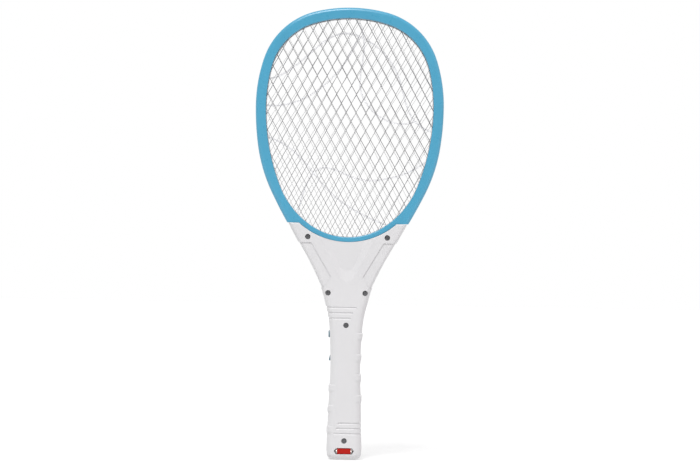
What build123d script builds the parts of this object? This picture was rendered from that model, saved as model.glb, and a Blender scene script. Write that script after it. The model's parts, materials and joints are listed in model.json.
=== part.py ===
from build123d import *
import math
import os

# Electric fly swatter, standing on its butt. +Z runs up the handle to the head,
# -Y is the screw side and +Y is the lamp side. Millimetres.

os.makedirs("parts", exist_ok=True)

# Head: rim and window are egg shapes of tangent arcs. Each run has three arcs: their
# turns in degrees and the first radius are given, and the other two radii close the run.
HEAD_TOP = 490.5
HEAD_WIDE = (102.15, 383.0)
HEAD_CROWN_TURNS = (-14, -58, -18)
HEAD_CROWN_RADIUS = 160
HEAD_FLANK_TURNS = (-8, -18, -4)
HEAD_FLANK_RADIUS = 304
SHOULDER = (65.9, 256.2)
JOINT = (52.7, 256.0)
RING_FOOT_Z = 236.1
WINDOW_TOP = 478.7
WINDOW_WIDE = (90.9, 381.0)
WINDOW_CROWN_TURNS = (-18, -58, -14)
WINDOW_CROWN_RADIUS = 132
WINDOW_FOOT = 241.1
WINDOW_FOOT_TURNS = (34, 34, 22)
WINDOW_FOOT_RADIUS = 72
RIM_HALF_DEPTH = 8.0
RIM_EDGE_RADIUS = 4.0
WINDOW_EDGE_RADIUS = 1.2
TONGUE_HALF_DEPTH = 5.0
TONGUE_FOOT_Z = 224.0

# Mesh stack, outwards from the middle plane of the head
GRID_THICKNESS = 0.6
GUARD_INNER_Y = 4.3
GUARD_OUTER_Y = GUARD_INNER_Y + GRID_THICKNESS
WEB_OUTER_Y = 6.4
RIB_OUTER_Y = 7.4
RIB_WIDTH = 1.8
GRID_SEAT = 3.0
GRID_BORDER = 1.2
SEAT_PLAY = 0.3
RIBS = (
    ((-95, 412), (-45, 440), (-8, 463), (24, 452), (52, 418), (66, 376), (95, 356)),
    ((-95, 384), (-58, 388), (-22, 412), (9, 460)),
    ((2, 482), (14, 440), (12, 400), (36, 371), (72.6, 368.7)),
    ((-95, 350), (-52, 326), (-18, 288), (16, 266), (56, 250)),
    ((-56, 246), (-50, 286), (-30, 316), (6, 306), (52, 308), (95, 336)),
)
CELL_WIDTH = 10.7
CELL_HEIGHT = 19.6
STRAND = 0.7
BOND_LENGTH = 3.0
HV_GRID_SHIFT = 0.12

# Handle: height, half width, half depth and corner radius of each lofted section
SECTIONS = (
    (7.0, 18.7, 15.0, 9.0),
    (20.0, 18.8, 15.0, 9.0),
    (45.0, 18.1, 15.0, 9.0),
    (70.0, 17.3, 15.0, 9.0),
    (95.0, 16.3, 14.7, 9.0),
    (120.0, 16.7, 14.3, 9.0),
    (140.0, 17.7, 13.8, 8.6),
    (155.0, 19.5, 13.2, 8.0),
    (170.0, 23.1, 12.4, 7.2),
    (185.0, 27.3, 11.4, 6.2),
    (192.0, 30.4, 11.1, 5.8),
    (200.0, 34.2, 11.0, 5.5),
    (209.0, 38.6, 11.0, 5.2),
    (218.0, 43.4, 11.0, 5.0),
    (227.5, 48.8, 11.0, 5.0),
    (237.0, 54.3, 11.0, 5.0),
    (247.0, 59.8, 11.0, 5.0),
    (257.0, 65.1, 11.0, 5.0),
    (267.0, 70.3, 11.0, 5.0),
)
NECK_HALF_DEPTH = 11.0
WALL = 2.2
BUTT_WALL = 2.4
JOINT_GAP = 0.25
JOINT_CHAMFER = 1.1
GROOVE_RADIUS = 1.3
GROOVE_DEPTH = 0.8
UPPER_GROOVES = ((164.6, 10.5), (158.8, 6.3), (153.0, 4.2))
LOWER_GROOVES = ((39.4, -5.8), (33.8, -7.8), (28.2, -11.0))
RIGHT_PAD_TOPS = (138.1, 114.9, 93.2, 70.7)
LEFT_PAD_TOPS = (82.0, 59.6, 36.9)
PAD_INNER_X = 10.5
PAD_OUTER_X = 23.0
PAD_FACE_SINK = 0.3
PAD_SQUARENESS = 1.5

# Finger pad: how far it stands out of the side at each drop below its top
PAD_PROFILE = ((0, -0.4), (1.4, 0.9), (6.5, 0.8), (12.0, -0.4))
FLANK_OUTLINE = ((17.3, 198.2), (22.4, 187.9), (32.0, 184.0), (70.0, 184.0), (70.0, 235.0), (39.2, 235.0))
FLANK_DEPTH = 0.9
SCOOP_DEPTH = 2.0

# Scoop outlines: height of the V's point before rounding, its slope and its rounding
SCOOP_RIM = (180.9, 0.5, 9.5)
SCOOP_FLOOR = (190.4, 0.4, 8.6)

# Screws: places of the six case screws, seen from the screw side
CASE_SCREWS = ((-43.1, 241.1), (43.1, 241.1), (-20.1, 180.6), (20.1, 180.6), (0, 145.7), (0, 20.7))
HEAD_RADIUS = 2.6
HEAD_HEIGHT = 1.7
HEAD_ROUND = 0.8
RECESS = (1.6, 0.35)
RECESS_DEPTH = 0.9
HEAD_SINK = 1.3
SHANK_RADIUS = 1.4
COUNTERBORE_RADIUS = 2.95
BOSS_RADIUS = 4.3
POST_RADIUS = 3.2
THREAD_FIT = 0.05

# Controls
BUTTON_Z = 135.8
BUTTON_SIZE = (8.4, 7.6)
BUTTON_TIP_X = -18.9
BUTTON_GAP = 0.3
LAMP_SLIDE_Z = 110.0
LAMP_TRAVEL = 4.0
LAMP_KNOB = (5.2, 6.0)
MODE_Z = 9.6
MODE_KNOB = (14.4, 6.0)
MODE_SLOT_TIP = 10.9
MODE_SLOT_CORNER = (8.6, 3.4)
MODE_FACE_Y = -14.7
MODE_FLANGE_Y = -12.4
MODE_PIN_Y = -13.5
MODE_PIN_RADIUS = 0.85
MODE_PIN_END = 8.9
BUTTON_FLANGE_X = -14.7

# Inside
CELL_RADIUS = 7.0
CELL_FOOT_Z = 28.0
CELL_LENGTH = 49.0
BOARD_Y = (4.0, 5.6)
BOARD_Z = (98.0, 178.0)
BOARD_HALF_WIDTH = 11.0
BOARD_SCREWS = ((7.0, 124.0), (-8.0, 172.0))
LAMP_Z = 212.0
INDICATOR_Z = 172.0
HV_X = 16.0
GUARD_X = -16.0
WIRE_RADIUS = 0.7
SHANK_LENGTH = 15.0
LENS_RADIUS = 4.2
INDICATOR_RADIUS = 1.5
PORT_Y = 6.3
PORT_SIZE = (7.6, 2.8)
TERMINAL_FOOT_Z = TONGUE_FOOT_Z + 2
TERMINAL_TOP_Z = WINDOW_FOOT + 1.0
TERMINAL_WIDTH = 3.0
STRIP = 0.6
SADDLE_HEIGHTS = (38.0, 67.0)
SADDLE_WIDTH = 1.8
CORE_Z = 159.0
CORE_Y = -1.5
LENS_FLANGE_Y = (7.4, 8.6)
TORCH_ROUTE = ((1.3, 1.5, LAMP_Z), (1.3, -1.8, LAMP_Z), (3, -1.8, 200), (3, 4.8, 188), (3, 4.8, 178))


def upright(y):
    """An upright plane at depth y. Its extrusions run towards the screw side, -Y."""
    return Plane.XZ.offset(-y)


def section_at(height):
    """Half width, half depth and corner radius of the handle at a height."""
    for low, high in zip(SECTIONS, SECTIONS[1:]):
        if height <= high[0]:
            share = (height - low[0]) / (high[0] - low[0])
            return [a + share * (b - a) for a, b in zip(low[1:], high[1:])]
    return list(SECTIONS[-1][1:])


def box_between(low, high):
    """A plain block between two corners."""
    size = [b - a for a, b in zip(low, high)]
    return Pos(*low) * Box(*size, align=Align.MIN, mode=Mode.PRIVATE)


def egg_curve(start, heading, turns, first_radius, end):
    """Three tangent arcs from start to end. The last two radii are solved so that they arrive."""
    angles = [math.radians(heading)]
    for turn in turns:
        angles.append(angles[-1] + math.radians(turn))
    side = math.copysign(1, turns[0])
    steps = [
        (side * (math.sin(b) - math.sin(a)), side * (math.cos(a) - math.cos(b)))
        for a, b in zip(angles, angles[1:])
    ]
    gap_x = end[0] - start[0] - first_radius * steps[0][0]
    gap_z = end[1] - start[1] - first_radius * steps[0][1]
    area = steps[1][0] * steps[2][1] - steps[2][0] * steps[1][1]
    second = (gap_x * steps[2][1] - gap_z * steps[2][0]) / area
    third = (gap_z * steps[1][0] - gap_x * steps[1][1]) / area
    place, tangent = start, (math.cos(angles[0]), math.sin(angles[0]))
    for turn, radius in zip(turns, (first_radius, second, third)):
        arc = JernArc(place, tangent, radius, turn)
        place, tangent = arc @ 1, arc % 1


def window_sketch(grow):
    """The rim's window, offset outwards by grow."""
    with BuildSketch() as window:
        with BuildLine():
            egg_curve((0, WINDOW_TOP), 0, WINDOW_CROWN_TURNS, WINDOW_CROWN_RADIUS, WINDOW_WIDE)
            egg_curve((0, WINDOW_FOOT), 0, WINDOW_FOOT_TURNS, WINDOW_FOOT_RADIUS, WINDOW_WIDE)
            mirror(about=Plane.YZ)
        make_face()
        if grow:
            offset(amount=grow)
    return window.sketch


def ring_sketch(outer, inner):
    """A ring that follows the window between two offsets."""
    with BuildSketch() as ring:
        add(window_sketch(outer))
        add(window_sketch(inner), mode=Mode.SUBTRACT)
    return ring.sketch


def rim_sketch():
    """The rim's outer outline, down to its joint with the handle."""
    with BuildSketch() as rim:
        with BuildLine():
            egg_curve((0, HEAD_TOP), 0, HEAD_CROWN_TURNS, HEAD_CROWN_RADIUS, HEAD_WIDE)
            egg_curve(HEAD_WIDE, -90, HEAD_FLANK_TURNS, HEAD_FLANK_RADIUS, SHOULDER)
            Line(SHOULDER, JOINT)
            mirror(about=Plane.YZ)
            ThreePointArc((-JOINT[0], JOINT[1]), (0, RING_FOOT_Z), JOINT)
        make_face()
    return rim.sketch


def tongue_sketch():
    """The plate under the ring that the handle shells clamp."""
    with BuildSketch() as tongue:
        Polygon(
            (-43.5, TONGUE_FOOT_Z), (43.5, TONGUE_FOOT_Z), (60, JOINT[1] - 1.5), (-60, JOINT[1] - 1.5),
            align=None,
        )
    return tongue.sketch


def terminal_pockets():
    """Room in the head for the two metal terminals."""
    low, high = TONGUE_FOOT_Z - 1, WINDOW_FOOT + 2.4
    return [
        box_between((HV_X - 3, -1.6, low), (HV_X + 3, 1.6, high)),
        box_between((GUARD_X - 3, -GUARD_INNER_Y - 0.1, low), (GUARD_X + 3, GUARD_INNER_Y + 0.1, high)),
    ]


def rim_half(seat_depth):
    """The rim's half on the screw side: rounded ring, lip over the mesh edge, tongue and holes."""
    with BuildPart() as half:
        with BuildSketch(Plane.XZ):
            add(rim_sketch())
        extrude(amount=RIM_HALF_DEPTH)
        face_arcs = half.faces().sort_by(Axis.Y)[0].edges().filter_by(GeomType.CIRCLE)
        fillet(face_arcs.filter_by(lambda arc: (arc @ 0.5).Z > JOINT[1]), RIM_EDGE_RADIUS)
        with BuildSketch(Plane.XZ):
            add(tongue_sketch())
        extrude(amount=TONGUE_HALF_DEPTH)
        with BuildSketch(Plane.XZ):
            add(window_sketch(0))
        extrude(amount=RIM_HALF_DEPTH, mode=Mode.SUBTRACT)
        lip_edges = half.faces().sort_by(Axis.Y)[0].inner_wires()[0].edges()
        fillet(lip_edges, WINDOW_EDGE_RADIUS)
        with BuildSketch(Plane.XZ):
            add(window_sketch(GRID_SEAT))
        extrude(amount=seat_depth, mode=Mode.SUBTRACT)
        with BuildSketch(Plane.XZ):
            with Locations(*CASE_SCREWS[:2]):
                Circle(BOSS_RADIUS + 0.3)
        extrude(amount=RIM_HALF_DEPTH, mode=Mode.SUBTRACT)
        for pocket in terminal_pockets():
            add(pocket, mode=Mode.SUBTRACT)
    return half.part


def hole_centres(shift):
    """Centres of the mesh holes that meet the window, every other row half a cell aside."""
    middle = (WINDOW_TOP + WINDOW_FOOT) / 2
    reach_x = WINDOW_WIDE[0] + CELL_WIDTH
    reach_z = (WINDOW_TOP - WINDOW_FOOT + CELL_HEIGHT) / 2
    rows = int(reach_z / (CELL_HEIGHT / 2)) + 1
    columns = int(reach_x / CELL_WIDTH) + 1
    centres = []
    for row in range(-rows, rows + 1):
        aside = shift + 0.5 * (row % 2)
        for column in range(-columns, columns + 1):
            x = (column + aside) * CELL_WIDTH
            z = row * CELL_HEIGHT / 2
            if abs(x / reach_x) ** 2.4 + abs(z / reach_z) ** 2.4 < 1.1:
                centres.append((x, middle + z))
    return centres


def grid_part(shift):
    """One layer of expanded metal with a solid border, its front face at y = 0."""
    half_width = (CELL_WIDTH - STRAND) / 2
    slope = (CELL_HEIGHT / 2 - BOND_LENGTH) / (CELL_WIDTH / 2)
    tip = (CELL_HEIGHT - BOND_LENGTH - STRAND * math.hypot(1, slope)) / 2
    side = tip - half_width * slope
    hole = [(0, tip), (half_width, side), (half_width, -side)]
    hole += [(-x, -z) for x, z in hole]
    with BuildPart() as grid:
        with BuildSketch(Plane.XZ):
            add(window_sketch(GRID_SEAT - SEAT_PLAY))
            with Locations(*hole_centres(shift)):
                Polygon(*hole, align=None, mode=Mode.SUBTRACT)
            add(ring_sketch(GRID_SEAT - SEAT_PLAY, GRID_BORDER))
        extrude(amount=GRID_THICKNESS)
    return grid.part


def spacer_part(front_y):
    """The insulating ring between two mesh layers, notched for the terminals."""
    with BuildPart() as spacer:
        with BuildSketch(upright(front_y)):
            add(ring_sketch(GRID_SEAT - SEAT_PLAY, GRID_BORDER - 0.4))
        extrude(amount=GUARD_INNER_Y - GRID_THICKNESS / 2)
        for pocket in terminal_pockets():
            add(pocket, mode=Mode.SUBTRACT)
    return spacer.part


def handle_form(side, face, corner, foot):
    """The handle as one closed form, its sections grown by side, face and corner."""
    _, width, depth, radius = SECTIONS[0]
    drop = SECTIONS[0][0] - foot
    with BuildPart() as form:
        for height, half_width, half_depth, corner_radius in SECTIONS:
            with BuildSketch(Plane.XY.offset(height)):
                RectangleRounded(2 * (half_width + side), 2 * (half_depth + face), corner_radius + corner)
        loft()
        with BuildSketch(Plane.XY.offset(foot)):
            RectangleRounded(2 * (width + side), 2 * (depth + face), radius + corner)
        extrude(amount=drop)
        fillet(form.faces().sort_by(Axis.Z)[0].edges(), min(drop, radius + corner) - 0.1)
    return form.part


def groove_tool(height, end_x, side):
    """A rounded cutter that follows the surface from end_x round one side to the other face."""
    half_width, half_depth, radius = section_at(height)
    lift = GROOVE_RADIUS - GROOVE_DEPTH
    wide, deep = side * (half_width + lift), half_depth + lift
    with BuildPart() as tool:
        with BuildLine(Plane.XY.offset(height)) as path:
            FilletPolyline((end_x, -deep), (wide, -deep), (wide, deep), (end_x, deep), radius=radius + lift)
        with BuildSketch(Plane(origin=path.line @ 0, z_dir=path.line % 0)):
            Circle(GROOVE_RADIUS)
        sweep()
        with Locations(path.line @ 0, path.line @ 1):
            Sphere(GROOVE_RADIUS)
    return tool.part


def finger_pad(top, side):
    """A raised pad round one edge of the grip: a steep lip at its top, thinning out downwards."""
    with BuildPart() as pad:
        for drop, stand in PAD_PROFILE:
            half_width, half_depth, radius = section_at(top - drop)
            with BuildSketch(Plane.XY.offset(top - drop)):
                RectangleRounded(
                    2 * (half_width + stand), 2 * (half_depth - PAD_FACE_SINK), radius - PAD_SQUARENESS * stand
                )
        loft(ruled=True)
        low_x, high_x = sorted((side * PAD_INNER_X, side * PAD_OUTER_X))
        add(box_between((low_x, -20, 0), (high_x, 20, top + 1)), mode=Mode.INTERSECT)
    return pad.part


def flank_cutter():
    """Takes a thin layer off both flanks of the neck, which leaves the raised middle."""
    with BuildPart() as cutter:
        with BuildSketch(upright(20)):
            for side in (1, -1):
                points = [(side * x, z) for x, z in FLANK_OUTLINE]
                Polygon(*points[:: side], align=None)
        extrude(amount=40)
        add(handle_form(-FLANK_DEPTH, -FLANK_DEPTH, -FLANK_DEPTH, 1), mode=Mode.SUBTRACT)
    return cutter.part


def scoop_outline(point_z, slope, radius):
    """A V with a rounded point and its open end up."""
    top = RING_FOOT_Z + 20
    reach = slope * (top - point_z)
    with BuildSketch() as outline:
        with BuildLine():
            FilletPolyline((-reach, top), (0, point_z), (reach, top), radius=radius)
            Line((reach, top), (-reach, top))
        make_face()
    return outline.sketch


def scoop_cutter(deep_y, shallow_y):
    """The shallow scoop under the ring, from the deep floor outline out to the wide one."""
    with BuildPart() as cutter:
        with BuildSketch(upright(deep_y)):
            add(scoop_outline(*SCOOP_FLOOR))
        with BuildSketch(upright(shallow_y)):
            add(scoop_outline(*SCOOP_RIM))
        loft(ruled=True)
    return cutter.part


def joint_outline():
    """The region above the handle's joint with the rim."""
    left, right = (-JOINT[0], JOINT[1] - JOINT_GAP), (JOINT[0], JOINT[1] - JOINT_GAP)
    with BuildSketch() as outline:
        with BuildLine():
            ThreePointArc(left, (0, RING_FOOT_Z - JOINT_GAP), right)
            Polyline(right, (80, right[1]), (80, 280), (-80, 280), (-80, left[1]), left)
        make_face()
    return outline.sketch


def above_joint():
    """Everything the handle gives way to above its joint, chamfered where it meets the faces."""
    with BuildPart() as above:
        with BuildSketch(upright(20)):
            add(joint_outline())
        extrude(amount=40)
        with BuildSketch(upright(JOINT_CHAMFER - NECK_HALF_DEPTH)):
            add(joint_outline())
        extrude(amount=2, taper=-45)
        mirror(about=Plane.XZ)
    return above.part


def handle_body():
    """The whole handle as a solid form with its relief, before it is hollowed and halved."""
    with BuildPart() as body:
        add(handle_form(0, 0, 0, 0))
        for side, tops in ((1, RIGHT_PAD_TOPS), (-1, LEFT_PAD_TOPS)):
            for top in tops:
                add(finger_pad(top, side))
        add(flank_cutter(), mode=Mode.SUBTRACT)
        add(above_joint(), mode=Mode.SUBTRACT)
        for height, end_x in UPPER_GROOVES:
            add(groove_tool(height, end_x, -1), mode=Mode.SUBTRACT)
        for height, end_x in LOWER_GROOVES:
            add(groove_tool(height, end_x, 1), mode=Mode.SUBTRACT)
    return body.part


def bar_along_y(x, z, low_y, high_y, radius):
    """A round bar or hole along Y."""
    bar = Cylinder(radius, high_y - low_y, align=(Align.CENTER, Align.CENTER, Align.MIN), mode=Mode.PRIVATE)
    return Pos(x, low_y, z) * Rot(-90, 0, 0) * bar


def screw_seat_y(z):
    """Depth of the face that a case screw's head sits on."""
    return HEAD_SINK + HEAD_HEIGHT - section_at(z)[1]


def pan_head(x, z):
    """The head of a case screw, with a rounded rim and a cross recess."""
    seat = screw_seat_y(z)
    crown = seat - HEAD_HEIGHT
    with BuildPart() as head:
        add(bar_along_y(x, z, crown, seat, HEAD_RADIUS))
        fillet(head.faces().sort_by(Axis.Y)[0].edges(), HEAD_ROUND)
        for half_x, half_z in (RECESS, RECESS[::-1]):
            low = (x - half_x, crown - 1, z - half_z)
            high = (x + half_x, crown + RECESS_DEPTH, z + half_z)
            add(box_between(low, high), mode=Mode.SUBTRACT)
    return head.part


def side_opening(size, z, radius):
    """A rounded opening in the left wall, half in each shell."""
    with BuildPart() as opening:
        with BuildSketch(Plane.YZ.offset(-30)):
            with Locations((0, z)):
                RectangleRounded(size[0], size[1], radius)
        extrude(amount=20)
    return opening.part


def wire(*points):
    """An insulated wire: straight runs joined by arcs as large as the runs allow."""
    radii = []
    for before, corner, after in zip(points, points[1:], points[2:]):
        back, ahead = Vector(*corner) - Vector(*before), Vector(*after) - Vector(*corner)
        turn = math.radians(back.get_angle(ahead))
        radii.append(0.45 * min(back.length, ahead.length) / math.tan(turn / 2))
    with BuildPart() as lead:
        with BuildLine() as path:
            FilletPolyline(*points, radius=radii)
        with BuildSketch(Plane(origin=path.line @ 0, z_dir=path.line % 0)):
            Circle(WIRE_RADIUS)
        sweep()
    return lead.part


def mirrored_in_x(points):
    """The same route on the other side."""
    return [(-x, y, z) for x, y, z in points]


# ---------------------------------------------------------------- head

with BuildPart() as rear_rim:
    add(rim_half(GUARD_OUTER_Y))
rear_rim.part.label = "rear_rim"
export_step(rear_rim.part, "parts/rear_rim.step")

with BuildPart() as front_rim:
    add(rim_half(WEB_OUTER_Y))
    mirror(about=Plane.XZ, mode=Mode.REPLACE)
front_rim.part.label = "front_rim"
export_step(front_rim.part, "parts/front_rim.step")

GUARD_GRID = grid_part(0)

with BuildPart() as rear_guard_grid:
    add(Pos(0, -GUARD_INNER_Y, 0) * GUARD_GRID)
rear_guard_grid.part.label = "rear_guard_grid"
export_step(rear_guard_grid.part, "parts/rear_guard_grid.step")

with BuildPart() as hv_grid:
    add(Pos(0, GRID_THICKNESS / 2, 0) * grid_part(HV_GRID_SHIFT))
hv_grid.part.label = "hv_grid"
export_step(hv_grid.part, "parts/hv_grid.step")

with BuildPart() as front_guard_grid:
    add(Pos(0, GUARD_OUTER_Y, 0) * GUARD_GRID)
front_guard_grid.part.label = "front_guard_grid"
export_step(front_guard_grid.part, "parts/front_guard_grid.step")

with BuildPart() as rear_grid_spacer:
    add(spacer_part(-GRID_THICKNESS / 2))
rear_grid_spacer.part.label = "rear_grid_spacer"
export_step(rear_grid_spacer.part, "parts/rear_grid_spacer.step")

with BuildPart() as front_grid_spacer:
    add(spacer_part(GUARD_INNER_Y))
front_grid_spacer.part.label = "front_grid_spacer"
export_step(front_grid_spacer.part, "parts/front_grid_spacer.step")

with BuildPart() as rib_web:
    with BuildSketch(upright(RIB_OUTER_Y)):
        for rib in RIBS:
            with BuildLine():
                Spline(*rib)
            trace(line_width=RIB_WIDTH)
        add(window_sketch(-0.1), mode=Mode.INTERSECT)
    extrude(amount=RIB_OUTER_Y - GUARD_OUTER_Y)
    with BuildSketch(upright(WEB_OUTER_Y)):
        add(ring_sketch(GRID_SEAT - SEAT_PLAY, -0.6))
    extrude(amount=WEB_OUTER_Y - GUARD_OUTER_Y)
rib_web.part.label = "rib_web"
export_step(rib_web.part, "parts/rib_web.step")

with BuildPart() as hv_terminal:
    with BuildSketch(upright(-GRID_THICKNESS / 2)):
        with Locations((HV_X, TERMINAL_FOOT_Z)):
            Rectangle(TERMINAL_WIDTH, TERMINAL_TOP_Z - TERMINAL_FOOT_Z, align=(Align.CENTER, Align.MIN))
    extrude(amount=STRIP)
hv_terminal.part.label = "hv_terminal"
export_step(hv_terminal.part, "parts/hv_terminal.step")

with BuildPart() as guard_terminal:
    with BuildSketch(Plane.YZ.offset(GUARD_X - TERMINAL_WIDTH / 2)):
        with Locations((0, TERMINAL_FOOT_Z)):
            Rectangle(2 * GUARD_INNER_Y, TERMINAL_TOP_Z - TERMINAL_FOOT_Z, align=(Align.CENTER, Align.MIN))
        with Locations((0, TERMINAL_FOOT_Z + STRIP)):
            Rectangle(
                2 * (GUARD_INNER_Y - STRIP), TERMINAL_TOP_Z, align=(Align.CENTER, Align.MIN), mode=Mode.SUBTRACT
            )
    extrude(amount=TERMINAL_WIDTH)
guard_terminal.part.label = "guard_terminal"
export_step(guard_terminal.part, "parts/guard_terminal.step")

# ---------------------------------------------------------------- handle shells

BODY = handle_body()
HOLLOW = handle_form(-WALL, -WALL, -WALL, BUTT_WALL)

with BuildPart() as rear_hollow:
    add(HOLLOW)
    split(bisect_by=Plane.XZ, keep=Keep.TOP)
    for x, z in CASE_SCREWS:
        add(bar_along_y(x, z, -16, 1, BOSS_RADIUS), mode=Mode.SUBTRACT)
    with BuildSketch(upright(-NECK_HALF_DEPTH + SCOOP_DEPTH + WALL)):
        add(scoop_outline(*SCOOP_RIM))
    extrude(amount=10, mode=Mode.SUBTRACT)
    for z in SADDLE_HEIGHTS:
        saddle = box_between((-20, -15, z), (20, -4, z + SADDLE_WIDTH))
        add(saddle - Cylinder(CELL_RADIUS + THREAD_FIT, 200, mode=Mode.PRIVATE), mode=Mode.SUBTRACT)
    for side in (-20, 9):
        add(box_between((side, -10, MODE_Z - 1.5), (side + 11, -5, MODE_Z + 1.5)), mode=Mode.SUBTRACT)

with BuildPart() as rear_shell:
    add(BODY)
    split(bisect_by=Plane.XZ, keep=Keep.TOP)
    add(scoop_cutter(-NECK_HALF_DEPTH + SCOOP_DEPTH, -NECK_HALF_DEPTH - 0.1), mode=Mode.SUBTRACT)
    add(rear_hollow.part, mode=Mode.SUBTRACT)
    for x, z in CASE_SCREWS:
        add(bar_along_y(x, z, -20, screw_seat_y(z), COUNTERBORE_RADIUS), mode=Mode.SUBTRACT)
        add(bar_along_y(x, z, -20, 1, SHANK_RADIUS + 0.2), mode=Mode.SUBTRACT)
    with BuildSketch(upright(-11)):
        corner_x, corner_z = MODE_SLOT_CORNER
        with Locations((0, MODE_Z)):
            slot = [(MODE_SLOT_TIP, 0), (corner_x, corner_z), (-corner_x, corner_z)]
            Polygon(*slot, *[(-x, -z) for x, z in slot], align=None)
    extrude(amount=8, mode=Mode.SUBTRACT)
    button_hole = [size + 2 * BUTTON_GAP for size in BUTTON_SIZE]
    add(side_opening(button_hole, BUTTON_Z, 3.3), mode=Mode.SUBTRACT)
    lamp_slot = (LAMP_KNOB[0] + 0.6, LAMP_KNOB[1] + LAMP_TRAVEL + 0.8)
    add(side_opening(lamp_slot, LAMP_SLIDE_Z + LAMP_TRAVEL / 2, 0.8), mode=Mode.SUBTRACT)
rear_shell.part.label = "rear_shell"
export_step(rear_shell.part, "parts/rear_shell.step")

with BuildPart() as front_hollow:
    add(HOLLOW)
    split(bisect_by=Plane.XZ, keep=Keep.BOTTOM)
    for x, z in CASE_SCREWS:
        add(bar_along_y(x, z, -1, 16, POST_RADIUS), mode=Mode.SUBTRACT)
    for x, z in BOARD_SCREWS:
        add(bar_along_y(x, z, BOARD_Y[1], 16, 2.6), mode=Mode.SUBTRACT)
    for side in (-20, 9):
        add(box_between((side, 2, 8), (side + 11, 6, 11)), mode=Mode.SUBTRACT)

with BuildPart() as front_shell:
    add(BODY)
    split(bisect_by=Plane.XZ, keep=Keep.BOTTOM)
    add(front_hollow.part, mode=Mode.SUBTRACT)
    for x, z in CASE_SCREWS:
        add(bar_along_y(x, z, -1, 8.2, SHANK_RADIUS + THREAD_FIT), mode=Mode.SUBTRACT)
    for x, z in BOARD_SCREWS:
        add(bar_along_y(x, z, BOARD_Y[1] - 1, 9.2, 1.0), mode=Mode.SUBTRACT)
    add(bar_along_y(0, LAMP_Z, 8, 20, LENS_RADIUS + THREAD_FIT), mode=Mode.SUBTRACT)
    add(bar_along_y(0, INDICATOR_Z, 8, 20, INDICATOR_RADIUS + THREAD_FIT), mode=Mode.SUBTRACT)
    add(side_opening(button_hole, BUTTON_Z, 3.3), mode=Mode.SUBTRACT)
    add(side_opening(lamp_slot, LAMP_SLIDE_Z + LAMP_TRAVEL / 2, 0.8), mode=Mode.SUBTRACT)
    with BuildSketch(Plane.XY.offset(-1)):
        with Locations((0, PORT_Y)):
            RectangleRounded(PORT_SIZE[0] + 0.6, PORT_SIZE[1] + 0.6, 0.8)
    extrude(amount=BUTT_WALL + 1.2, mode=Mode.SUBTRACT)
front_shell.part.label = "front_shell"
export_step(front_shell.part, "parts/front_shell.step")

with BuildPart() as case_screws:
    for x, z in CASE_SCREWS:
        add(pan_head(x, z))
        add(bar_along_y(x, z, screw_seat_y(z), screw_seat_y(z) + SHANK_LENGTH, SHANK_RADIUS))
case_screws.part.label = "case_screws"
export_step(case_screws.part, "parts/case_screws.step")

# ---------------------------------------------------------------- fire button

with BuildPart() as fire_button:
    with BuildSketch(Plane.YZ.offset(BUTTON_TIP_X)):
        with Locations((0, BUTTON_Z)):
            RectangleRounded(*BUTTON_SIZE, 3.0)
    extrude(amount=5)
    fillet(fire_button.faces().sort_by(Axis.X)[0].edges(), 0.9)
    with BuildSketch(Plane.YZ.offset(BUTTON_FLANGE_X)):
        with Locations((0, BUTTON_Z)):
            RectangleRounded(BUTTON_SIZE[0] + 1.8, BUTTON_SIZE[1] + 2.2, 2.0)
    extrude(amount=1.2)
fire_button.part.label = "fire_button"
export_step(fire_button.part, "parts/fire_button.step")

with BuildPart() as fire_switch_stem:
    with BuildSketch(Plane.YZ.offset(BUTTON_FLANGE_X + 1.2)):
        with Locations((0, BUTTON_Z)):
            Circle(1.2)
    extrude(amount=4.3)
fire_switch_stem.part.label = "fire_switch_stem"
export_step(fire_switch_stem.part, "parts/fire_switch_stem.step")

with BuildPart() as fire_switch_body:
    add(box_between((-11.2, -3, BUTTON_Z - 3), (-6.2, BOARD_Y[0], BUTTON_Z + 3)))
    fillet(fire_switch_body.edges().filter_by(Axis.X), 0.5)
    with BuildSketch(Plane.YZ.offset(-11.2)):
        with Locations((0, BUTTON_Z)):
            Circle(1.2 + THREAD_FIT)
    extrude(amount=4, mode=Mode.SUBTRACT)
fire_switch_body.part.label = "fire_switch_body"
export_step(fire_switch_body.part, "parts/fire_switch_body.step")

# ---------------------------------------------------------------- lamp slide

with BuildPart() as lamp_slide_knob:
    low_z, high_z = LAMP_SLIDE_Z - LAMP_KNOB[1] / 2, LAMP_SLIDE_Z + LAMP_KNOB[1] / 2
    with BuildSketch(upright(LAMP_KNOB[0] / 2)):
        Polygon(
            (-13.8, low_z), (-13.8, high_z), (-16.8, high_z), (-17.9, low_z + 1.6), (-17.7, low_z),
            align=None,
        )
    extrude(amount=LAMP_KNOB[0])
    fillet(lamp_slide_knob.edges().filter_by(Axis.Y).group_by(Axis.X)[0], 0.5)
    add(box_between((-13.9, -4.5, low_z - 3.5), (-12.7, 4.5, high_z + 3.5)))
lamp_slide_knob.part.label = "lamp_slide_knob"
export_step(lamp_slide_knob.part, "parts/lamp_slide_knob.step")

with BuildPart() as lamp_switch_actuator:
    add(box_between((-12.7, -0.9, LAMP_SLIDE_Z - 1), (-9.0, 0.9, LAMP_SLIDE_Z + 1)))
    fillet(lamp_switch_actuator.edges().filter_by(Axis.X), 0.3)
lamp_switch_actuator.part.label = "lamp_switch_actuator"
export_step(lamp_switch_actuator.part, "parts/lamp_switch_actuator.step")

with BuildPart() as lamp_switch_body:
    add(box_between((-11.4, -2.8, 102.0), (-6.0, BOARD_Y[0], 118.0)))
    channel = box_between(
        (-12, -1.2, LAMP_SLIDE_Z - 1.4), (-8.5, 1.2, LAMP_SLIDE_Z + LAMP_TRAVEL + 1.4)
    )
    add(channel, mode=Mode.SUBTRACT)
lamp_switch_body.part.label = "lamp_switch_body"
export_step(lamp_switch_body.part, "parts/lamp_switch_body.step")

# ---------------------------------------------------------------- mode slide

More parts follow.
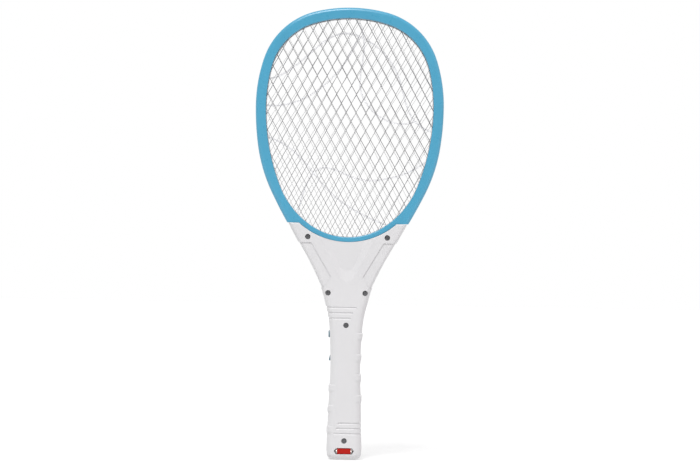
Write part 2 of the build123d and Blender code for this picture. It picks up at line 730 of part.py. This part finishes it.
with BuildPart() as mode_slide_knob:
    with BuildSketch(upright(MODE_FLANGE_Y)):
        with Locations((0, MODE_Z)):
            Rectangle(*MODE_KNOB)
    extrude(amount=MODE_FLANGE_Y - MODE_FACE_Y)
    chamfer(mode_slide_knob.faces().sort_by(Axis.Y)[0].edges().filter_by(Axis.X), 0.5)
    with BuildSketch(upright(MODE_FLANGE_Y + 1.2)):
        with Locations((0, MODE_Z)):
            Rectangle(MODE_KNOB[0], MODE_KNOB[1] + 2.8)
    extrude(amount=1.2)
    with BuildSketch(Plane.YZ.offset(-20)):
        with Locations((MODE_PIN_Y, MODE_Z)):
            Circle(MODE_PIN_RADIUS)
    extrude(amount=40, mode=Mode.SUBTRACT)
mode_slide_knob.part.label = "mode_slide_knob"
export_step(mode_slide_knob.part, "parts/mode_slide_knob.step")

with BuildPart() as mode_slide_pin:
    with BuildSketch(Plane.YZ.offset(-MODE_PIN_END)):
        with Locations((MODE_PIN_Y, MODE_Z)):
            Circle(MODE_PIN_RADIUS)
    extrude(amount=2 * MODE_PIN_END)
    fillet(mode_slide_pin.edges(), 0.4)
mode_slide_pin.part.label = "mode_slide_pin"
export_step(mode_slide_pin.part, "parts/mode_slide_pin.step")

with BuildPart() as mode_switch_actuator:
    add(box_between((-1, MODE_FLANGE_Y + 1.2, MODE_Z - 0.9), (1, -8.2, MODE_Z + 0.9)))
mode_switch_actuator.part.label = "mode_switch_actuator"
export_step(mode_switch_actuator.part, "parts/mode_switch_actuator.step")

with BuildPart() as mode_switch_body:
    add(box_between((-9, -9.8, MODE_Z - 3.4), (9, -4.5, MODE_Z + 3.4)))
    channel = box_between((-2.6, -10, MODE_Z - 1.3), (2.6, -7.5, MODE_Z + 1.3))
    add(channel, mode=Mode.SUBTRACT)
mode_switch_body.part.label = "mode_switch_body"
export_step(mode_switch_body.part, "parts/mode_switch_body.step")

# ---------------------------------------------------------------- power

with BuildPart() as battery_cell:
    with BuildSketch(Plane.XY.offset(CELL_FOOT_Z)):
        Circle(CELL_RADIUS)
    extrude(amount=CELL_LENGTH)
    fillet(battery_cell.edges().filter_by(GeomType.CIRCLE), 0.8)
    with BuildSketch(Plane.XY.offset(CELL_FOOT_Z + CELL_LENGTH)):
        Circle(2.7)
    extrude(amount=1)
battery_cell.part.label = "battery_cell"
export_step(battery_cell.part, "parts/battery_cell.step")

with BuildPart() as battery_positive_tab:
    top = CELL_FOOT_Z + CELL_LENGTH + 1
    add(box_between((-2, -3, top), (6, 3, top + STRIP)))
battery_positive_tab.part.label = "battery_positive_tab"
export_step(battery_positive_tab.part, "parts/battery_positive_tab.step")

with BuildPart() as battery_negative_tab:
    add(box_between((-4, -3, CELL_FOOT_Z - STRIP), (10.2, 3, CELL_FOOT_Z)))
battery_negative_tab.part.label = "battery_negative_tab"
export_step(battery_negative_tab.part, "parts/battery_negative_tab.step")

with BuildPart() as battery_leads:
    add(wire((4, 0, top + STRIP), (4, 0, 90), (4, 1.2, 99.5), (4, BOARD_Y[0], 99.5)))
    add(wire((9.2, 0, CELL_FOOT_Z), (9.2, 0, 80), (9.2, 1.2, 99.5), (9.2, BOARD_Y[0], 99.5)))
battery_leads.part.label = "battery_leads"
export_step(battery_leads.part, "parts/battery_leads.step")

with BuildPart() as charge_board:
    add(box_between((-9, 3.3, 3), (9, 4.9, 16.5)))
charge_board.part.label = "charge_board"
export_step(charge_board.part, "parts/charge_board.step")

with BuildPart() as charge_port:
    with BuildSketch(Plane.XY.offset(0.6)):
        with Locations((0, PORT_Y)):
            RectangleRounded(*PORT_SIZE, 0.7)
            RectangleRounded(PORT_SIZE[0] - 0.6, PORT_SIZE[1] - 0.6, 0.4, mode=Mode.SUBTRACT)
    extrude(amount=5)
    add(box_between((-2, PORT_Y - 0.3, 1.6), (2, PORT_Y + 0.3, 5.6)))
    add(box_between((-PORT_SIZE[0] / 2 + 0.5, PORT_Y - 1.1, 5.0), (PORT_SIZE[0] / 2 - 0.5, PORT_Y + 1.1, 5.6)))
charge_port.part.label = "charge_port"
export_step(charge_port.part, "parts/charge_port.step")

with BuildPart() as charge_leads:
    add(wire((-6, 4.1, 16.5), (-6, 4.1, 24), (-10.5, 2, 36), (-10.5, 2, 86), (-8.5, 1, 99.5), (-8.5, 4, 99.5)))
    add(
        wire(
            (-8, 4.1, 16.5), (-8, 4.1, 24), (-10.5, 4.4, 36), (-10.5, 4.4, 86), (-5.5, 1, 99.5), (-5.5, 4, 99.5)
        )
    )
charge_leads.part.label = "charge_leads"
export_step(charge_leads.part, "parts/charge_leads.step")

# ---------------------------------------------------------------- main board

with BuildPart() as main_board:
    add(box_between((-BOARD_HALF_WIDTH, BOARD_Y[0], BOARD_Z[0]), (BOARD_HALF_WIDTH, BOARD_Y[1], BOARD_Z[1])))
    x, z = CASE_SCREWS[4]
    add(bar_along_y(x, z, 0, 10, POST_RADIUS + 0.4), mode=Mode.SUBTRACT)
    for x, z in BOARD_SCREWS:
        add(bar_along_y(x, z, 0, 10, 1.1), mode=Mode.SUBTRACT)
main_board.part.label = "main_board"
export_step(main_board.part, "parts/main_board.step")

with BuildPart() as board_screws:
    for x, z in BOARD_SCREWS:
        add(bar_along_y(x, z, BOARD_Y[0] - 1.2, BOARD_Y[0], 1.9))
        add(bar_along_y(x, z, BOARD_Y[0], 9, 0.95))
board_screws.part.label = "board_screws"
export_step(board_screws.part, "parts/board_screws.step")

with BuildPart() as transformer_core:
    add(box_between((-7, CORE_Y - 2.5, CORE_Z - 7), (7, CORE_Y + 2.5, CORE_Z + 7)))
    for low_x in (-5.2, 2.0):
        low, high = (low_x, CORE_Y - 3, CORE_Z - 4.8), (low_x + 3.2, CORE_Y + 3, CORE_Z + 4.8)
        add(box_between(low, high), mode=Mode.SUBTRACT)
transformer_core.part.label = "transformer_core"
export_step(transformer_core.part, "parts/transformer_core.step")

with BuildPart() as transformer_winding:
    with BuildSketch(Plane.XY.offset(CORE_Z - 4.6)):
        with Locations((0, CORE_Y)):
            RectangleRounded(10.2, 11, 2.5)
            Rectangle(4.1, 5.1, mode=Mode.SUBTRACT)
    extrude(amount=9.2)
transformer_winding.part.label = "transformer_winding"
export_step(transformer_winding.part, "parts/transformer_winding.step")

with BuildPart() as storage_capacitor:
    add(box_between((-5, -5, 167), (6.5, BOARD_Y[0], 174.5)))
    fillet(storage_capacitor.edges(), 0.9)
storage_capacitor.part.label = "storage_capacitor"
export_step(storage_capacitor.part, "parts/storage_capacitor.step")

with BuildPart() as multiplier_diodes:
    for z in (153, 157.5, 162):
        with BuildSketch(Plane.YZ.offset(-2.8)):
            with Locations((BOARD_Y[1] + 1.4, z)):
                Circle(1.4)
        extrude(amount=5.6)
multiplier_diodes.part.label = "multiplier_diodes"
export_step(multiplier_diodes.part, "parts/multiplier_diodes.step")

with BuildPart() as resistors:
    for z in (103, 107, 111, 115):
        with BuildSketch(Plane.YZ.offset(-3)):
            with Locations((BOARD_Y[1] + 1.1, z)):
                Circle(1.1)
        extrude(amount=6)
resistors.part.label = "resistors"
export_step(resistors.part, "parts/resistors.step")

with BuildPart() as switching_transistor:
    with BuildSketch(upright(BOARD_Y[0])):
        with Locations((6, 131)):
            Circle(2.4)
        with Locations((6, 127.2)):
            Rectangle(8, 4, mode=Mode.SUBTRACT)
    extrude(amount=4.6)
switching_transistor.part.label = "switching_transistor"
export_step(switching_transistor.part, "parts/switching_transistor.step")

with BuildPart() as hv_lead:
    add(wire((9, 4, 170), (9, 0.4, 170), (9, 0, 179), (14, 0, 202), (HV_X, -0.6, 216), (HV_X, -0.6, 226)))
hv_lead.part.label = "hv_lead"
export_step(hv_lead.part, "parts/hv_lead.step")

with BuildPart() as ground_lead:
    add(wire((-9, 4, 163), (-9, 0.4, 163), (-9, 0, 174), (-13, 0, 202), (GUARD_X, 0, 216), (GUARD_X, 0, 226)))
ground_lead.part.label = "ground_lead"
export_step(ground_lead.part, "parts/ground_lead.step")

# ---------------------------------------------------------------- lamp and indicator

with BuildPart() as torch_lens:
    add(bar_along_y(0, LAMP_Z, LENS_FLANGE_Y[1], 11.4, LENS_RADIUS))
    fillet(torch_lens.faces().sort_by(Axis.Y)[-1].edges(), 1.0)
    add(bar_along_y(0, LAMP_Z, *LENS_FLANGE_Y, LENS_RADIUS + 1))
torch_lens.part.label = "torch_lens"
export_step(torch_lens.part, "parts/torch_lens.step")

with BuildPart() as torch_reflector:
    with BuildSketch(Plane.YZ):
        with Locations((0, LAMP_Z)):
            Polygon((3, 2.6), (3, 3.4), (7.4, 5.2), (7.4, 4.2), (4.2, 2.6), align=None)
    revolve(axis=Axis((0, 0, LAMP_Z), (0, 1, 0)))
torch_reflector.part.label = "torch_reflector"
export_step(torch_reflector.part, "parts/torch_reflector.step")

with BuildPart() as torch_led:
    add(bar_along_y(0, LAMP_Z, 1.5, 6.6, 2.5))
    fillet(torch_led.faces().sort_by(Axis.Y)[-1].edges(), 2.2)
    add(bar_along_y(0, LAMP_Z, 1.5, 2.5, 2.9))
torch_led.part.label = "torch_led"
export_step(torch_led.part, "parts/torch_led.step")

with BuildPart() as torch_leads:
    add(wire(*TORCH_ROUTE))
    add(wire(*mirrored_in_x(TORCH_ROUTE)))
torch_leads.part.label = "torch_leads"
export_step(torch_leads.part, "parts/torch_leads.step")

with BuildPart() as indicator_led:
    add(bar_along_y(0, INDICATOR_Z, BOARD_Y[1], 12.6, INDICATOR_RADIUS))
    fillet(indicator_led.faces().sort_by(Axis.Y)[-1].edges(), 1.2)
indicator_led.part.label = "indicator_led"
export_step(indicator_led.part, "parts/indicator_led.step")
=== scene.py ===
"""Looks for the electric fly swatter: materials, expanded-metal mesh, screws, lights and camera."""

import math

import bpy
import numpy as np
from mathutils import Matrix, Vector
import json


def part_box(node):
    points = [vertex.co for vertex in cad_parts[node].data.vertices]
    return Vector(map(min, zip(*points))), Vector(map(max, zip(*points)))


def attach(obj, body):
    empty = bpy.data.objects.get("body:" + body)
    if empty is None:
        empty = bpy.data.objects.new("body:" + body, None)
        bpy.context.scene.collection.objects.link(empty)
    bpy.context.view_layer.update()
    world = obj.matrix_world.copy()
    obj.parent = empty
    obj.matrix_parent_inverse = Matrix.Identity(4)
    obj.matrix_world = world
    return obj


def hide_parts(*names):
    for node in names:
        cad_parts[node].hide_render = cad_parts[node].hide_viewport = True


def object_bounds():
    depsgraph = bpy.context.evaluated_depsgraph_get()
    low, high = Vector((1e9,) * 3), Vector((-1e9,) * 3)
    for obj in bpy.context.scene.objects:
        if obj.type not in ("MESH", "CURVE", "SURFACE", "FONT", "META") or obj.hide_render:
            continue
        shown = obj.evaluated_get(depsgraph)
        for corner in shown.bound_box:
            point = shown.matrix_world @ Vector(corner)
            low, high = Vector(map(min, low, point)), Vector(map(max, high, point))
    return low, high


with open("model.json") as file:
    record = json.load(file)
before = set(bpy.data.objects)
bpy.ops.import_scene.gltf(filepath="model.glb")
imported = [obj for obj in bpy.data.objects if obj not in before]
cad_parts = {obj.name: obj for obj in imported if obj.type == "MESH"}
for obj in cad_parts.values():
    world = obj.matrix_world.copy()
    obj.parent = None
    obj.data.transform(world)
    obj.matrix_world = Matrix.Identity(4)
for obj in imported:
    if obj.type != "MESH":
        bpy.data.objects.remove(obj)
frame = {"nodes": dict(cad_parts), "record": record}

NODES = frame["nodes"]
START_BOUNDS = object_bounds()
MM = 0.001

# ------------------------------------------------------------------ materials


def shader_material(name):
    """A new material, its node tree and its Principled shader."""
    material = bpy.data.materials.new(name)
    material.use_nodes = True
    tree = material.node_tree
    return material, tree, tree.nodes["Principled BSDF"]


def noise(tree, size, detail=3.0, roughness=0.55, stretch=(1, 1, 1)):
    """Noise over the object, with features of the given size in metres."""
    where = tree.nodes.new("ShaderNodeTexCoord")
    mapping = tree.nodes.new("ShaderNodeMapping")
    mapping.inputs["Scale"].default_value = stretch
    tree.links.new(where.outputs["Object"], mapping.inputs["Vector"])
    texture = tree.nodes.new("ShaderNodeTexNoise")
    texture.inputs["Scale"].default_value = 1 / size
    texture.inputs["Detail"].default_value = detail
    texture.inputs["Roughness"].default_value = roughness
    tree.links.new(mapping.outputs["Vector"], texture.inputs["Vector"])
    return texture.outputs["Fac"]


def ranged(tree, value, low, high, start=0.3, end=0.7):
    """A texture value carried over to a range."""
    node = tree.nodes.new("ShaderNodeMapRange")
    node.inputs["From Min"].default_value = start
    node.inputs["From Max"].default_value = end
    node.inputs["To Min"].default_value = low
    node.inputs["To Max"].default_value = high
    tree.links.new(value, node.inputs["Value"])
    return node.outputs["Result"]


def blended(tree, factor, first, second):
    """A mix of two colours by a texture value. Each is a plain colour or another node's output."""
    node = tree.nodes.new("ShaderNodeMix")
    node.data_type = "RGBA"
    for socket, colour in (("A", first), ("B", second)):
        if isinstance(colour, tuple):
            node.inputs[socket].default_value = (*colour, 1)
        else:
            tree.links.new(colour, node.inputs[socket])
    tree.links.new(factor, node.inputs["Factor"])
    return node.outputs["Result"]


def bumped(tree, shader, height, depth, before=None):
    """Relief from a texture value, in metres."""
    node = tree.nodes.new("ShaderNodeBump")
    node.inputs["Distance"].default_value = depth
    node.inputs["Strength"].default_value = 1.0
    tree.links.new(height, node.inputs["Height"])
    if before is not None:
        tree.links.new(before, node.inputs["Normal"])
    tree.links.new(node.outputs["Normal"], shader.inputs["Normal"])
    return node.outputs["Normal"]


def seam_groove_and_shade_mask(tree, half_width):
    """1 on the parting line at y = 0, falling to 0 at half_width; it sets the seam's groove bump and its
    painted shade.
    """
    where = tree.nodes.new("ShaderNodeTexCoord")
    split = tree.nodes.new("ShaderNodeSeparateXYZ")
    tree.links.new(where.outputs["Object"], split.inputs["Vector"])
    size = tree.nodes.new("ShaderNodeMath")
    size.operation = "ABSOLUTE"
    tree.links.new(split.outputs["Y"], size.inputs[0])
    return ranged(tree, size.outputs[0], 1.0, 0.0, 0.0, half_width)


def scaled(colour, factor):
    """A colour made lighter or darker."""
    return tuple(min(1.0, c * factor) for c in colour)


def moulded(
    name, colour, roughness, grain=0.5 * MM, depth=0.02 * MM, mottle=0.04, coat=0.0, seam=False, shine=0.5
):
    """Moulded plastic: fine spark texture, slight flow marks and uneven gloss; with seam, a groove bump
    along the parting line, darkened by painted shade.
    """
    material, tree, shader = shader_material(name)
    flow = noise(tree, 22 * MM, 4.0, stretch=(1, 1, 0.45))
    tint = blended(tree, ranged(tree, flow, 0, 1), scaled(colour, 1 - mottle), scaled(colour, 1 + mottle))
    normal = bumped(tree, shader, noise(tree, grain, 2.0), depth)
    if seam:
        mask = seam_groove_and_shade_mask(tree, 0.22 * MM)
        # painted shade: the parting line darkened to 0.45 of the colour, standing in for the shade inside
        # its groove
        tint = blended(tree, mask, tint, scaled(colour, 0.45))
        bumped(tree, shader, mask, -0.25 * MM, before=normal)
    tree.links.new(tint, shader.inputs["Base Color"])
    gloss = ranged(tree, noise(tree, 6 * MM, 3.0), roughness - 0.05, roughness + 0.06)
    tree.links.new(gloss, shader.inputs["Roughness"])
    shader.inputs["IOR"].default_value = 1.49
    shader.inputs["Specular IOR Level"].default_value = shine
    shader.inputs["Coat Weight"].default_value = coat
    shader.inputs["Coat Roughness"].default_value = 0.12
    return material


def metal(name, colour, roughness=0.3, mark=0.6 * MM, depth=0.01 * MM, stretch=(1, 1, 1)):
    """Bare metal with fine marks and a slightly dulled surface."""
    material, tree, shader = shader_material(name)
    dull = noise(tree, 4 * MM, 5.0, 0.65)
    tint = blended(tree, ranged(tree, dull, 0, 1), scaled(colour, 0.75), colour)
    tree.links.new(tint, shader.inputs["Base Color"])
    shader.inputs["Metallic"].default_value = 1.0
    marks = noise(tree, mark, 3.0, stretch=stretch)
    tree.links.new(ranged(tree, marks, roughness - 0.07, roughness + 0.12), shader.inputs["Roughness"])
    bumped(tree, shader, marks, depth)
    return material


def clear(name, colour, roughness=0.05, share=1.0):
    """Clear moulded plastic with faint flow lines; a smaller share makes it milky."""
    material, tree, shader = shader_material(name)
    flow = noise(tree, 3 * MM, 2.0)
    tree.links.new(blended(tree, flow, scaled(colour, 0.96), colour), shader.inputs["Base Color"])
    shader.inputs["Transmission Weight"].default_value = share
    shader.inputs["IOR"].default_value = 1.49
    tree.links.new(ranged(tree, flow, roughness, roughness + 0.05), shader.inputs["Roughness"])
    bumped(tree, shader, flow, 0.02 * MM)
    return material


WHITE = (0.645, 0.64, 0.65)
BLUE = (0.070, 0.335, 0.51)
RED = (0.40, 0.012, 0.007)

FINISH = {
    "handle_plastic": moulded("handle_plastic", WHITE, 0.40, 0.45 * MM, 0.018 * MM, 0.012, seam=True),
    "rim_plastic": moulded("rim_plastic", BLUE, 0.30, 0.6 * MM, 0.010 * MM, 0.03, 0.15, seam=True),
    "web_plastic": clear("web_plastic", (0.96, 0.96, 0.98), 0.40, 0.75),
    "mesh_metal": metal("mesh_metal", (0.38, 0.38, 0.39), 0.36, 0.5 * MM, 0.02 * MM),
    "spacer_plastic": moulded("spacer_plastic", (0.60, 0.60, 0.60), 0.5),
    "terminal_brass": metal("terminal_brass", (0.78, 0.60, 0.30), 0.28),
    "screw_steel": metal("screw_steel", (0.24, 0.24, 0.25), 0.38, 0.3 * MM, 0.01 * MM),
    "control_plastic": moulded("control_plastic", (0.10, 0.19, 0.24), 0.33, 0.4 * MM, 0.012 * MM, 0.05),
    "switch_plastic": moulded("switch_plastic", (0.02, 0.02, 0.022), 0.42, 0.3 * MM, 0.02 * MM, 0.2),
    "switch_metal": metal("switch_metal", (0.62, 0.61, 0.60), 0.25, 0.4 * MM, 0.01 * MM, (0.2, 1, 1)),
    "red_plastic": moulded("red_plastic", RED, 0.45, 0.4 * MM, 0.012 * MM, 0.06, shine=0.15),
    "pin_steel": metal("pin_steel", (0.82, 0.74, 0.70), 0.18, 0.2 * MM, 0.004 * MM),
    "cell_wrap": moulded("cell_wrap", (0.05, 0.20, 0.36), 0.22, 1.5 * MM, 0.03 * MM, 0.05),
    "tab_nickel": metal("tab_nickel", (0.66, 0.64, 0.60), 0.3, 0.4 * MM, 0.01 * MM, (0.2, 1, 1)),
    "wire_insulation": moulded("wire_insulation", (0.03, 0.03, 0.03), 0.45, 0.6 * MM, 0.03 * MM, 0.2),
    "hv_insulation": moulded("hv_insulation", (0.50, 0.04, 0.03), 0.45, 0.6 * MM, 0.03 * MM, 0.1),
    "board_laminate": moulded("board_laminate", (0.04, 0.20, 0.07), 0.30, 1.2 * MM, 0.03 * MM, 0.15),
    "port_steel": metal("port_steel", (0.70, 0.70, 0.70), 0.22),
    "ferrite": moulded("ferrite", (0.05, 0.05, 0.05), 0.65, 0.25 * MM, 0.05 * MM, 0.25),
    "winding_wire": moulded("winding_wire", (0.62, 0.42, 0.08), 0.35, 0.8 * MM, 0.05 * MM, 0.12),
    "capacitor_shell": moulded("capacitor_shell", (0.45, 0.11, 0.03), 0.25, 1.5 * MM, 0.06 * MM, 0.1),
    "diode_body": moulded("diode_body", (0.025, 0.025, 0.025), 0.4, 0.4 * MM, 0.03 * MM, 0.2),
    "resistor_body": moulded("resistor_body", (0.55, 0.42, 0.26), 0.4, 0.8 * MM, 0.03 * MM, 0.1),
    "clear_lens": clear("clear_lens", (0.95, 0.97, 0.98)),
    "reflector_chrome": metal("reflector_chrome", (0.86, 0.86, 0.87), 0.12, 0.8 * MM, 0.01 * MM),
    "indicator_lens": moulded("indicator_lens", (0.50, 0.04, 0.025), 0.18, 0.8 * MM, 0.02 * MM, 0.08),
}


def dress(piece, slot):
    """Gives a piece the finish of a slot."""
    piece.data.materials.clear()
    piece.data.materials.append(FINISH[slot])


for subpart in frame["record"]["subparts"]:
    dress(NODES[subpart["node"]], subpart["material_slot"])


def new_piece(name, points, faces):
    """A flat-shaded mesh object from points and faces, in the frame's own coordinates."""
    mesh = bpy.data.meshes.new(name)
    mesh.from_pydata([tuple(p) for p in points], [], faces)
    mesh.validate()
    mesh.shade_flat()
    piece = bpy.data.objects.new(name, mesh)
    bpy.context.scene.collection.objects.link(piece)
    return piece


# -------------------------------------------------------------- expanded metal

# A sheet slit and pulled open: zigzag strands side by side, fused at their bonds.
CELL_WIDTH = 10.67 * MM
ROW = 9.84 * MM
BOND = 1.0 * MM
BOND_STEPS = (-0.5, -0.3, 0.3, 0.5)  # points of a strand along one bond, as shares of its length
BOND_LAP = 0.86  # how far two fused strands stand apart, as a share of their width
STRAND_THICKNESS = 0.30 * MM
STRAND_TWIST = math.radians(28)
TWIST_RAMP = 3.0  # how soon a strand reaches its full twist as it leaves the upright
LONGEST_STEP = 2.2 * MM  # between two sections of a strand
EDGE_INSET = 0.8 * MM

# Each sheet: name, node it stands for, a bond's place from the middle of that node, turn in degrees,
# pitch across and up as shares of the full pitch, and strand width
SHEETS = (
    ("rear_mesh", "rear_guard_grid", (-3.5 * MM, -2.9 * MM), 0.29, (0.999, 1.001), 0.36 * MM),
    ("live_mesh", "hv_grid", (-3.6 * MM, -3.0 * MM), 0.29, (0.999, 1.001), 0.36 * MM),
    ("front_mesh", "front_guard_grid", (-5.1 * MM, -3.3 * MM), -1.7, (1.027, 1.012), 0.18 * MM),
)


def outline(node):
    """The convex outline of a node seen along +Y, counter-clockwise."""
    points = sorted({(round(v.co.x, 6), round(v.co.z, 6)) for v in node.data.vertices})

    def chain(ordered):
        kept = []
        for p in ordered:
            while len(kept) > 1 and left_turn(kept[-2], kept[-1], p) <= 0:
                kept.pop()
            kept.append(p)
        return kept[:-1]

    def left_turn(a, b, c):
        return (b[0] - a[0]) * (c[1] - a[1]) - (b[1] - a[1]) * (c[0] - a[0])

    return np.array(chain(points) + chain(points[::-1]))


def depth_inside(edge, x, z):
    """How far points lie inside a convex outline; negative outside."""
    ahead = np.roll(edge, -1, axis=0) - edge
    inward = np.stack([-ahead[:, 1], ahead[:, 0]], axis=1) / np.hypot(*ahead.T)[:, None]
    gap_x = x[:, None] - edge[None, :, 0]
    gap_z = z[:, None] - edge[None, :, 1]
    return (gap_x * inward[:, 0] + gap_z * inward[:, 1]).min(axis=1)


def zigzag(column, rows, width):
    """The line of one strand: a straight run along each bond, alternately right and left."""
    line = []
    for row in rows:
        to_right = (row + column) % 2
        x = (column + to_right) * CELL_WIDTH / 2
        x += (0.5 - to_right) * width * BOND_LAP
        line += [(x, row * ROW + share * BOND) for share in BOND_STEPS]
    return line


def densified(line):
    """The same line with its long runs divided."""
    made = [line[0]]
    for before, after in zip(line, line[1:]):
        length = math.hypot(after[0] - before[0], after[1] - before[1])
        parts = max(1, math.ceil(length / LONGEST_STEP))
        for k in range(1, parts + 1):
            share = k / parts
            made.append(tuple(a + share * (b - a) for a, b in zip(before, after)))
    return made


def ribbon_sections(line, centre_y, width):
    """Twisted four-cornered sections along a strand's line."""
    points = np.array(line)
    heading = np.gradient(points, axis=0)
    heading /= np.hypot(*heading.T)[:, None]
    across = np.stack([heading[:, 1], -heading[:, 0]], axis=1)
    corners = []
    for (x, z), side in zip(points, across):
        lean = STRAND_TWIST * (1.0 if side[1] > 0 else -1.0) * min(1.0, abs(side[1]) * TWIST_RAMP)
        wide = np.array([side[0] * math.cos(lean), math.sin(lean), side[1] * math.cos(lean)])
        thick = np.array([-side[0] * math.sin(lean), math.cos(lean), -side[1] * math.sin(lean)])
        centre = np.array([x, centre_y, z])
        for a, b in ((-1, -1), (1, -1), (1, 1), (-1, 1)):
            corners.append(centre + wide * a * width / 2 + thick * b * STRAND_THICKNESS / 2)
    return corners


def expanded_sheet(name, node_name, bond, turn, pitch, width):
    """One layer of expanded metal, cut to the outline of the node it stands for."""
    edge = outline(NODES[node_name])
    low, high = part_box(node_name)
    middle = (low + high) / 2
    start_x, start_z = middle.x + bond[0], middle.z + bond[1]
    angle = math.radians(turn)
    cos, sin = math.cos(angle), math.sin(angle)
    reach = (high - low).length
    columns = int(reach / CELL_WIDTH) + 2
    rows = range(-int(reach / ROW) - 2, int(reach / ROW) + 3)
    points, faces = [], []
    for column in range(-columns, columns):
        line = []
        for x, z in zigzag(column, rows, width):
            x, z = x * pitch[0], z * pitch[1]
            line.append((start_x + cos * x - sin * z, start_z + sin * x + cos * z))
        line = densified(line)
        inside = depth_inside(edge, *np.array(line).T) > EDGE_INSET
        run = [p for p, keep in zip(line, inside) if keep]
        if len(run) < 3:
            continue
        first = len(points)
        points += ribbon_sections(run, middle.y, width)
        for k in range(len(run) - 1):
            a = first + 4 * k
            faces += [(a + j, a + (j + 1) % 4, a + 4 + (j + 1) % 4, a + 4 + j) for j in range(4)]
        last = first + 4 * (len(run) - 1)
        faces += [(first + 3, first + 2, first + 1, first), (last, last + 1, last + 2, last + 3)]
    sheet = new_piece(name, points, faces)
    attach(sheet, "root")
    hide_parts(node_name)
    dress(sheet, "mesh_metal")


for sheet_facts in SHEETS:
    expanded_sheet(*sheet_facts)

# ---------------------------------------------------------------------- stage

FLOOR_HALF = 6.0
CAMERA_DISTANCE = 2.80
FRAME_WIDTH = 0.7612  # width of the view at CAMERA_AIM
CAMERA_AIM = Vector((2.6 * MM, 0.0, 245.2 * MM))
CAMERA_ROLL = math.radians(1.0)
SENSOR = 36.0
SKY_LIGHT = 0.22  # from the camera's side
BACKDROP_LIGHT = 1.0  # from behind the object
FLOOR_GLOW = 0.50  # keeps the shadows on the floor light
FLOOR_GAP = 0.2 * MM

floor = new_piece(
    "floor",
    [(side * FLOOR_HALF, end * FLOOR_HALF, 0) for side, end in ((-1, -1), (1, -1), (1, 1), (-1, 1))],
    [(0, 1, 2, 3)],
)
floor.location.z = START_BOUNDS[0].z - FLOOR_GAP
floor_material, floor_tree, floor_shader = shader_material("floor_paper")
floor_tree.links.new(
    blended(floor_tree, noise(floor_tree, 0.25, 3.0), (0.43, 0.43, 0.43), (0.46, 0.46, 0.46)),
    floor_shader.inputs["Base Color"],
)
floor_shader.inputs["Emission Color"].default_value = (1, 1, 1, 1)
floor_shader.inputs["Emission Strength"].default_value = FLOOR_GLOW
floor_shader.inputs["Roughness"].default_value = 0.8
floor_shader.inputs["Specular IOR Level"].default_value = 0.2
floor.data.materials.append(floor_material)

world = bpy.data.worlds.new("studio")
bpy.context.scene.world = world
world.use_nodes = True
sky_tree = world.node_tree
sky = sky_tree.nodes["Background"]
sky.inputs["Color"].default_value = (1, 1, 1, 1)
direction = sky_tree.nodes.new("ShaderNodeSeparateXYZ")
sky_tree.links.new(sky_tree.nodes.new("ShaderNodeTexCoord").outputs["Generated"], direction.inputs["Vector"])
glow = ranged(sky_tree, direction.outputs["Y"], SKY_LIGHT, BACKDROP_LIGHT, -0.2, 0.5)
seen = sky_tree.nodes.new("ShaderNodeLightPath").outputs["Is Camera Ray"]
strength = sky_tree.nodes.new("ShaderNodeMix")
sky_tree.links.new(seen, strength.inputs["Factor"])
sky_tree.links.new(glow, strength.inputs["A"])
strength.inputs["B"].default_value = 1.0
sky_tree.links.new(strength.outputs["Result"], sky.inputs["Strength"])
bpy.context.scene.view_settings.view_transform = "Standard"


def soft_sun(name, azimuth, elevation, spread, strength, colour=(1, 1, 1)):
    """A wide, even light. Azimuth 0 shines along +Y, and elevation is its height, in degrees."""
    light = bpy.data.lights.new(name, "SUN")
    light.angle = math.radians(spread)
    light.energy = strength
    light.color = colour
    lamp = bpy.data.objects.new(name, light)
    lamp.rotation_euler = (math.radians(90 - elevation), 0, math.radians(-azimuth))
    bpy.context.scene.collection.objects.link(lamp)


soft_sun("key", 16, 56, 30, 2.8)
soft_sun("side", -60, 20, 60, 0.45, (1.0, 0.90, 0.93))

camera_data = bpy.data.cameras.new("camera")
camera_data.sensor_width = SENSOR
camera_data.lens = SENSOR * CAMERA_DISTANCE / FRAME_WIDTH
camera_data.clip_start = 0.01
camera = bpy.data.objects.new("camera", camera_data)
camera.location = CAMERA_AIM - Vector((0, CAMERA_DISTANCE, 0))
level = Matrix.Rotation(math.pi / 2, 3, "X")
camera.rotation_euler = (Matrix.Rotation(-CAMERA_ROLL, 3, "Y") @ level).to_euler()
bpy.context.scene.collection.objects.link(camera)
bpy.context.scene.camera = camera
